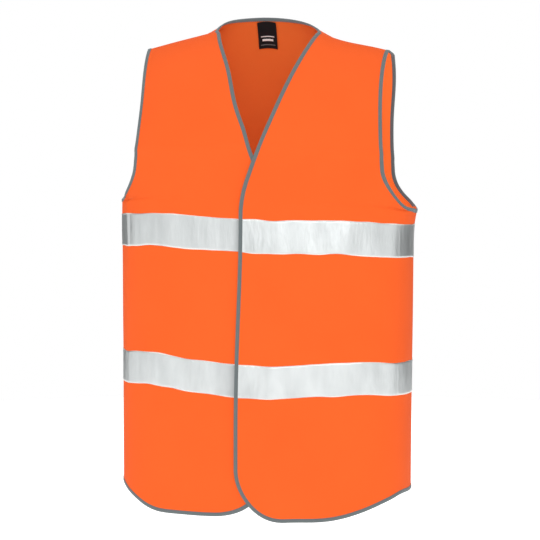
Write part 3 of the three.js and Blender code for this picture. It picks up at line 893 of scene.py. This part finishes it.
def glass_bead_tape(name):
    """Silver tape of tiny glass beads on cloth, with pressed edges and soft creases."""
    tape = Finish(name)
    uv = tape.uv()
    edge = tape.share_between(tape.math("ABSOLUTE", tape.split(uv)[1]), 0.0241, 0.0246)
    upright = tape.add("ShaderNodeMapping", Vector=uv, Scale=(1.0, 0.28, 1.0)).outputs[0]
    slanted = tape.add("ShaderNodeMapping", Vector=uv, Rotation=(0, 0, 0.35),
                       Scale=(1.0, 0.4, 1.0)).outputs[0]
    crease = tape.noise(upright, 52.0, 3.0)
    fine = tape.noise(upright, 190.0, 2.0)
    bead = tape.noise(uv, 7000.0, 1.0)
    broad = tape.share_between(tape.noise(slanted, 24.0, 2.0), 0.36, 0.64)
    # Painted shade and painted reflection: the silver dims along the creases that also bump it,
    # and in broad slanted patches.
    shade = tape.plus(tape.times(crease, 0.5), tape.times(fine, 0.15))
    shade = tape.plus(shade, tape.times(broad, 0.35))
    silver = tape.mixed(shade, (0.84, 0.875, 0.875, 1), (0.58, 0.61, 0.61, 1))
    # Painted shade beside the lapping outer front, from the attribute that tape_piece sets.
    silver = tape.mixed(tape.attribute("painted_lap_shade"), silver, (0.16, 0.165, 0.17, 1))
    height = tape.plus(tape.times(crease, 6.0), tape.times(fine, 1.1))
    return tape.done(
        tape.plus(height, tape.times(bead, 0.08)), 0.0004, 0.8,
        Base_Color=tape.mixed(edge, silver, (0.9, 0.87, 0.8, 1)),
        Metallic=tape.math("SUBTRACT", 0.75, tape.times(edge, 0.65)), Roughness=0.34)


def thread(name, colour):
    strand = Finish(name)
    twist = strand.noise(strand.place(), 3500.0, 1.0)
    dark = tuple(c * 0.7 for c in colour[:3]) + (1,)
    return strand.done(twist, 0.0001, 0.6, Base_Color=strand.mixed(twist, colour, dark),
                       Roughness=0.55, Sheen_Weight=0.2)


def satin_label(name, colour, deep):
    satin = Finish(name)
    height, gap_shade = satin.yarn(satin.uv(), 0.0006, 0.0009, 0.8)
    return satin.done(height, 0.0001, 0.5, Base_Color=satin.mixed(gap_shade, colour, deep),
                      Roughness=0.6, Specular_IOR_Level=0.2)


def closure(name, colour, deep, grain):
    pad = Finish(name)
    pile = pad.noise(pad.place(), grain, 3.0)
    return pad.done(pile, 0.0008, 0.9, Base_Color=pad.mixed(pile, deep, colour),
                    Roughness=0.9, Sheen_Weight=0.3)


# Painted light: the outside gives off a large share of its colour as light, the inside only a
# small share plus the light near the armholes, so the inside looks darker.
ORANGE = knitted_cloth("fluorescent_orange_knit", (0.76, 0.102, 0.0165, 1),
                       (0.7, 0.083, 0.012, 1), 0.3)
ORANGE_INSIDE = knitted_cloth("wrong_side_of_knit", (0.82, 0.158, 0.03, 1),
                              (0.72, 0.126, 0.021, 1), 0.03, through=0.55)
# Painted light: the binding gives off a faint cool light of its own, which lifts and cools it
# where it lies in shade.
GREY = bound_edge("grey_binding", (0.13, 0.132, 0.126, 1), (0.06, 0.061, 0.058, 1),
                  (0.035, 0.062, 0.072, 1))
SILVER = glass_bead_tape("silver_bead_tape")
GREY_THREAD = thread("grey_thread", (0.16, 0.17, 0.17, 1))
WHITE_THREAD = thread("white_thread", (0.8, 0.8, 0.78, 1))
ORANGE_THREAD = thread("orange_thread", (0.95, 0.16, 0.03, 1))
BLACK_LABEL = satin_label("black_label_satin", (0.005, 0.0055, 0.007, 1),
                          (0.002, 0.002, 0.0025, 1))
WHITE_LABEL = satin_label("white_label_satin", (0.82, 0.82, 0.8, 1), (0.6, 0.6, 0.58, 1))
LABEL_MARK = satin_label("label_marks", (0.85, 0.85, 0.83, 1), (0.6, 0.6, 0.58, 1))
GREY_MARK = satin_label("label_grey_marks", (0.2, 0.2, 0.2, 1), (0.1, 0.1, 0.1, 1))
LOOP = closure("loop_pile", (0.13, 0.135, 0.14, 1), (0.05, 0.052, 0.055, 1), 900.0)
HOOK = closure("hook_base", (0.1, 0.105, 0.11, 1), (0.05, 0.052, 0.055, 1), 1500.0)


def bend_with_front(piece):
    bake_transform(piece)


# ---- panels, tapes and bindings ----
def tape_height(centre, turns, up, worn):
    """Level of a place up from a tape's middle, on the slightly wavering line it is sewn to."""
    around = arc_at(np.mod(turns * worn.side, FULL)) / arc_at(FULL)
    sway = 0.9 * smooth_noise(51, 37, around * 37 + centre)
    nip = 1.5 * smooth_noise(52, 48, around * 48 + centre) * up / TAPE_WIDTH
    return level_of(centre + up + sway + nip)


def tape_piece(name, centre, turns, worn):
    up = np.linspace(-TAPE_WIDTH / 2, TAPE_WIDTH / 2, 17)
    level = tape_height(centre, turns[None, :], up[:, None], worn)
    turn = np.broadcast_to(turns, level.shape)
    piece = cloth_piece(name, turn, level, TAPE_LOW, TAPE_HIGH, worn, SILVER)
    layer = piece.data.uv_layers["cloth"].data
    uv = np.empty(len(layer) * 2, np.float32)
    layer.foreach_get("uv", uv)
    uv = uv.reshape(-1, 2)
    uv[:, 1] -= (centre - CHEST) * MM
    layer.foreach_set("uv", uv.ravel())
    # Painted shade: the inner front's tape darkens beside the free edge of the outer front that
    # laps over it.
    if worn is INNER_FRONT:
        past_lap = arc_at(turn) - HALF_OVERLAP
        reach = 8 if centre == TAPE_CENTRES["upper"] else 15
        shade_by_lap = 0.6 * np.exp(-np.maximum(past_lap, 0) / reach)
        add_attribute(piece, "painted_lap_shade", np.tile(shade_by_lap.ravel(), 2))
    return piece


def tape_stitches(stitching, turns, worn):
    for centre in TAPE_CENTRES.values():
        for up in (-1, 1):
            level = tape_height(centre, turns, up * (TAPE_WIDTH / 2 - 2.0), worn)
            normals = worn.normals(turns, level)
            stitching.row(worn.points(turns, level, TAPE_HIGH), normals)
            stitching.row(worn.points(turns, level, CLOTH_LOW), normals, flip=-1)


def edge_stitches(stitching, turn, level, inward, worn, closed=False):
    along, up, out = edge_frames(turn, level, inward)
    t, l = shifted(turn, level, along, up, out * -BINDING_STITCH_IN)
    if closed:
        t, l = np.append(t, t[0]), np.append(l, l[0])
    normals = worn.normals(t, l)
    stitching.row(worn.points(t, l, BINDING_STITCH_OVER), normals, pitch=3.2)
    stitching.row(worn.points(t, l, BINDING_STITCH_UNDER), normals, pitch=3.2, flip=-1)


def turns_between(start, end, step):
    """Turns a step apart round the chest, with extra ones beside a seam at either end."""
    first, last = arc_at(np.array([start, end]))
    run = first + near_seams(np.linspace(0, last - first, int((last - first) / step)))
    table = np.linspace(start - 0.05, end + 0.05, 4000)
    return np.interp(run, arc_at(table), table)


def make_front(worn, word):
    turn, level = front_places()
    panel = cloth_piece(f"{word}_front_cloth", turn, level, CLOTH_LOW, CLOTH_HIGH, worn, ORANGE,
                        ORANGE_INSIDE)
    edge_turn, edge_level = front_edge_path()
    binding = binding_piece(f"{word}_front_edge_binding", edge_turn, edge_level, -1, worn)
    turns = front_columns()[3:]
    tapes = [tape_piece(f"{name}_tape_{word}_front", centre, turns, worn)
             for name, centre in TAPE_CENTRES.items()]
    white, grey = Stitching(), Stitching()
    tape_stitches(white, turns[3:-2], worn)
    edge_stitches(grey, edge_turn, edge_level, -1, worn)
    sewing = [white.piece(f"{word}_front_tape_stitches", WHITE_THREAD),
              grey.piece(f"{word}_front_binding_stitches", GREY_THREAD)]
    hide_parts(f"{word}_front_flap", f"{word}_front_side")
    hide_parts(f"{word}_front_binding", f"{word}_side_hem_binding",
                f"{word}_neck_binding")
    for piece, name in zip(tapes, TAPE_CENTRES):
        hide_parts(f"{name}_tape_{word}_flap", f"{name}_tape_{word}_side")
    for piece in [panel, binding, *tapes, *sewing]:
        bend_with_front(piece)
    return panel, [binding, *tapes, *sewing]


def make_back():
    turn, level = back_places()
    panel = cloth_piece("back_cloth", turn, level, CLOTH_LOW, CLOTH_HIGH, ON_BACK, ORANGE,
                        ORANGE_INSIDE)
    white, grey = Stitching(), Stitching()
    turns = turns_between(QUARTER, 3 * QUARTER, 2.4)
    neck_path, hem_path, armhole = back_neck_path(), back_hem_path(), armhole_path()
    neck = binding_piece("back_neck_edge_binding", *neck_path, -1, ON_BACK, width=0.75)
    hem = binding_piece("back_hem_edge_binding", *hem_path, 1, ON_BACK)
    tapes = []
    for name, centre in TAPE_CENTRES.items():
        tape = tape_piece(f"{name}_tape_across_back", centre, turns, ON_BACK)
        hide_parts(f"{name}_tape_back")
        tapes.append(tape)
    tape_stitches(white, turns[2:-2], ON_BACK)
    edge_stitches(grey, *neck_path, -1, ON_BACK)
    edge_stitches(grey, *hem_path, 1, ON_BACK)
    armholes = []
    for word, worn in (("left", ON_BACK), ("right", MIRRORED)):
        binding = binding_piece(f"{word}_armhole_edge_binding", *armhole, 1, worn, closed=True)
        edge_stitches(grey, *armhole, 1, worn, closed=True)
        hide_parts(f"{word}_front_armhole_binding", f"{word}_back_armhole_binding")
        armholes.append(binding)
    sewing = [white.piece("back_tape_stitches", WHITE_THREAD),
              grey.piece("back_and_armhole_binding_stitches", GREY_THREAD)]
    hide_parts("back_panel")
    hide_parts("back_neck_binding")
    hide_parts("back_hem_binding")
    trim = [neck, hem, *tapes, *armholes, *sewing]
    for piece in [panel, *trim]:
        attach(piece, "vest_body")
    return panel, trim


# ---- seams turned inside ----
OVERLOCK_PITCH, OVERLOCK_SLANT = 2.6, 1.3


def overlocked(name, turn, level, worn):
    """A folded seam allowance inside the cloth, with its overlock thread."""
    strip = cloth_piece(name, turn, level, SEAM_LOW, SEAM_HIGH, worn, ORANGE)
    threads = Stitching()
    for share in (0.18, 0.82):
        column = share * (turn.shape[1] - 1)
        i, f = int(column), column - int(column)
        t = turn[:, i] * (1 - f) + turn[:, i + 1] * f
        l = level[:, i] * (1 - f) + level[:, i + 1] * f
        threads.row(worn.points(t, l, SEAM_LOW), worn.normals(t, l), flip=-1)
    inner = worn.points(turn[:, 0], level[:, 0], SEAM_LOW - 0.05)
    outer = worn.points(turn[:, -1], level[:, -1], SEAM_LOW - 0.05)
    run = path_length(inner)
    at = np.arange(1.5, run[-1] - 2, OVERLOCK_PITCH)
    a, b = at_lengths(at, run, inner), at_lengths(at + OVERLOCK_SLANT, run, outer)
    normal = at_lengths(at, run, worn.normals(turn[:, 0], level[:, 0]))
    length = np.linalg.norm(b - a, axis=1).mean()
    threads.add((a + b) / 2, unit(b - a), -normal, length / 2, 0.17)
    thread_piece = threads.piece(f"{name}_overlock", ORANGE_THREAD)
    for piece in (strip, thread_piece):
        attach(piece, "vest_body")
    return strip, thread_piece


def make_seams(word, worn):
    z = np.linspace(-SIDE_LENGTH + 11, ARMHOLE_BOTTOM - 11, 100)
    across = QUARTER + np.linspace(0.3, 7, 7) / SIDE_RADIUS
    turn, level = np.meshgrid(across, level_of(z))
    side, side_thread = overlocked(f"{word}_side_seam_allowance", turn, level, worn)
    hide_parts(f"{word}_side_seam")
    x = np.linspace(NECK_HALF + 11, SHOULDER_HALF - 11, 40)
    level, turn = np.meshgrid(np.linspace(0.997, 0.93, 7), math.pi - turn_at(x))
    top, top_thread = overlocked(f"{word}_shoulder_seam_allowance", turn, level, worn)
    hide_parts(f"{word}_shoulder_seam")
    return [side, side_thread, top, top_thread]


# ---- closure ----
PATCH_STITCH_INSET = 2.0
HOOK_ROOM, HOOK_STEP = 5, 1.7


def patch_places(centre, width, length, step):
    x = np.linspace(-width / 2, width / 2, int(width / step) + 1)
    z = centre + np.linspace(-length / 2, length / 2, int(length / step) + 1)
    return np.meshgrid(turn_at(x), level_of(z))


def patch_outline(centre):
    x, z = PATCH_WIDTH / 2 - PATCH_STITCH_INSET, PATCH_LENGTH / 2 - PATCH_STITCH_INSET
    corners = [(-x, -z), (x, -z), (x, z), (-x, z), (-x, -z)]
    points = []
    for (a, b), (c, d) in zip(corners, corners[1:]):
        t = np.linspace(0, 1, 30)[:-1]
        points += list(zip(a + (c - a) * t, b + (d - b) * t))
    points = np.array(points + [corners[0]])
    return turn_at(points[:, 0]), level_of(centre + points[:, 1])


def make_closure():
    pieces = {"left": [], "right": []}
    for n, centre in enumerate(PATCH_CENTRES, 1):
        turn, level = patch_places(centre, PATCH_WIDTH, PATCH_LENGTH, 1.0)
        pile = np.random.default_rng(40 + n).uniform(0, LOOP_ROUGHNESS, turn.shape)
        loop = cloth_piece(f"loop_pile_{n}", turn, level, LOOP_LOW, LOOP_HIGH + pile, MIRRORED,
                           LOOP)
        hook = cloth_piece(f"hook_tape_{n}", turn, level, HOOK_LOW, HOOK_HIGH, ON_BACK, HOOK)
        t, l = (places.ravel() for places in patch_places(
            centre, PATCH_WIDTH - HOOK_ROOM, PATCH_LENGTH - HOOK_ROOM, HOOK_STEP))
        upright = np.tile([0.0, 0.0, 1.0], (len(t), 1))
        hooks = Stitching()
        hooks.add(ON_BACK.points(t, l, HOOK_TIPS), ON_BACK.normals(t, l), upright, 0.45, 0.17)
        stubs = hooks.piece(f"hooks_{n}", HOOK)
        sewn = []
        for word, worn, height, flip in (("left", ON_BACK, HOOK_LOW, -1),
                                         ("right", MIRRORED, STITCH_OVER_LOOP, 1)):
            t, l = patch_outline(centre)
            rows = Stitching()
            rows.row(worn.points(t, l, height), worn.normals(t, l), flip=flip, radius=0.3)
            sewn.append(rows.piece(f"patch_stitches_{word}_{n}", GREY_THREAD))
        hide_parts(f"loop_patch_{n}")
        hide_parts(f"hook_patch_{n}")
        for word, members in (("left", (hook, stubs, sewn[0])), ("right", (loop, sewn[1]))):
            for piece in members:
                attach(piece, f"{word}_front")
            pieces[word] += members
    return pieces


# ---- labels ----
def down_back(length):
    """The level that lies a length down the centre back from the neck's edge."""
    levels = np.linspace(float(back_top_level(np.array(0.0))), 0.1, 600)
    run = path_length(body_point(np.full(600, math.pi), levels))
    return np.interp(length, run, levels)


def hanging_label(name, across, down, low, high, material):
    turn, level = np.meshgrid(math.pi - turn_at(across), down_back(down))
    return cloth_piece(name, turn, level, low, high, ON_BACK, material)


def make_neck_label():
    pieces = [hanging_label("neck_label_tab", np.linspace(-15.5, 15.5, 22),
                            np.linspace(5.5, 50.5, 32), -1.5, -1.1, BLACK_LABEL)]
    marks = ((22, 30, 31.6, LABEL_MARK), (18, 35, 38.5, LABEL_MARK), (24, 44, 45.2, GREY_MARK))
    for n, (width, top, bottom, material) in enumerate(marks):
        pieces.append(hanging_label(
            f"neck_label_mark_{n}", np.linspace(-width / 2, width / 2, 12),
            np.linspace(top, bottom, 4), -1.58, -1.45, material))
    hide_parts("neck_label")
    for piece in pieces:
        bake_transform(piece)
    return pieces


def side_label(name, across, z, low, high, material):
    turn, level = np.meshgrid(QUARTER - across / LABEL_RADIUS, level_of(z))
    return cloth_piece(name, turn, level, low, high, ON_BACK, material)


def make_care_label():
    pieces = [side_label("care_label_tab", np.linspace(0.3, 30, 18), np.linspace(-667, -613, 30),
                         -1.6, -1.2, WHITE_LABEL)]
    for n, height in enumerate(np.arange(-622, -662, -4.5)):
        end = 25 if n % 3 else 19
        pieces.append(side_label(f"care_label_line_{n}", np.linspace(7, end, 10),
                                 np.array([height - 0.9, height]), -1.67, -1.55, GREY_MARK))
    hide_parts("care_label")
    for piece in pieces:
        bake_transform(piece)
    return pieces


left_panel, left_trim = make_front(OUTER_FRONT, "left")
right_panel, right_trim = make_front(INNER_FRONT, "right")
back_panel, back_trim = make_back()
seams = make_seams("left", ON_BACK) + make_seams("right", MIRRORED)
closures = make_closure()
neck_label = make_neck_label()
care_label = make_care_label()


# ---- studio ----
def aim(ob, target):
    ob.rotation_euler = (Vector(target) - ob.location).to_track_quat("-Z", "Y").to_euler()


MIDDLE = (0, 0, -0.38)


def soft_light(name, place, size, power):
    data = bpy.data.lights.new(name, "AREA")
    data.shape = "RECTANGLE"
    data.size, data.size_y = size
    data.energy = power
    light = bpy.data.objects.new(name, data)
    bpy.context.scene.collection.objects.link(light)
    light.location = place
    aim(light, MIDDLE)


def make_floor():
    bpy.ops.object.select_all(action="DESELECT")
    bpy.ops.mesh.primitive_circle_add(vertices=96, radius=3.0, fill_type="NGON",
                                      location=(0, 0, -1.0))
    floor = bpy.context.object
    floor.name = "floor"
    pale = Finish("pale_floor")
    look = {"Base Color": (0.9, 0.9, 0.9, 1), "Roughness": 0.9,
            "Emission Color": (1, 1, 1, 1), "Emission Strength": 0.55}
    for name, value in look.items():
        pale.put(pale.tree.nodes["Principled BSDF"].inputs[name], value)
    floor.data.materials.append(pale.material)


# Light by where it comes from, from 0 in front to 1 behind: (place, brightness).
LIGHT_STOPS = ((0.0, 0.76), (0.52, 0.76), (0.64, 0.06), (0.97, 0.06), (0.99, 0.75), (1.0, 0.75))


def make_surroundings():
    """White behind the vest. The light that reaches it is bright in front and right behind it,
    and dim at the sides."""
    world = bpy.data.worlds.new("studio")
    bpy.context.scene.world = world
    world.use_nodes = True
    world.node_tree.nodes.clear()
    sky = Nodes(world.node_tree)
    way = sky.add("ShaderNodeTexCoord").outputs["Generated"]
    ramp = sky.add("ShaderNodeValToRGB", Fac=sky.times(sky.plus(sky.split(way)[1], 1.0), 0.5))
    stops = ramp.color_ramp.elements
    for place, _ in LIGHT_STOPS[1:-1]:
        stops.new(place)
    for stop, (_, bright) in zip(stops, LIGHT_STOPS):
        stop.color = (bright, bright, bright, 1)
    lit = sky.add("ShaderNodeBackground", Color=ramp.outputs[0])
    shown = sky.add("ShaderNodeBackground", Color=(1, 1, 1, 1), Strength=1.0)
    pick = sky.add("ShaderNodeMixShader")
    seen = sky.add("ShaderNodeLightPath").outputs["Is Camera Ray"]
    for socket, value in zip(pick.inputs, (seen, lit.outputs[0], shown.outputs[0])):
        sky.put(socket, value)
    sky.add("ShaderNodeOutputWorld", Surface=pick.outputs[0])


def make_camera():
    azimuth, elevation, distance = math.radians(10.5), math.radians(3.0), 2.2
    target = Vector((0.0046, 0, -0.373))
    data = bpy.data.cameras.new("camera")
    data.sensor_width = 36
    data.lens = 93
    camera = bpy.data.objects.new("camera", data)
    bpy.context.scene.collection.objects.link(camera)
    camera.location = target + distance * Vector((
        math.cos(elevation) * math.sin(azimuth), -math.cos(elevation) * math.cos(azimuth),
        math.sin(elevation)))
    aim(camera, target)
    bpy.context.scene.camera = camera


make_floor()
make_surroundings()
soft_light("front_softbox", (0.5, -2.6, 0.7), (2.0, 1.4), 21)
soft_light("back_softbox", (-0.4, 2.6, 0.7), (2.0, 1.4), 26)
soft_light("top_softbox", (0, 0, 2.2), (1.6, 1.6), 11)
make_camera()
bpy.context.scene.view_settings.view_transform = "Standard"
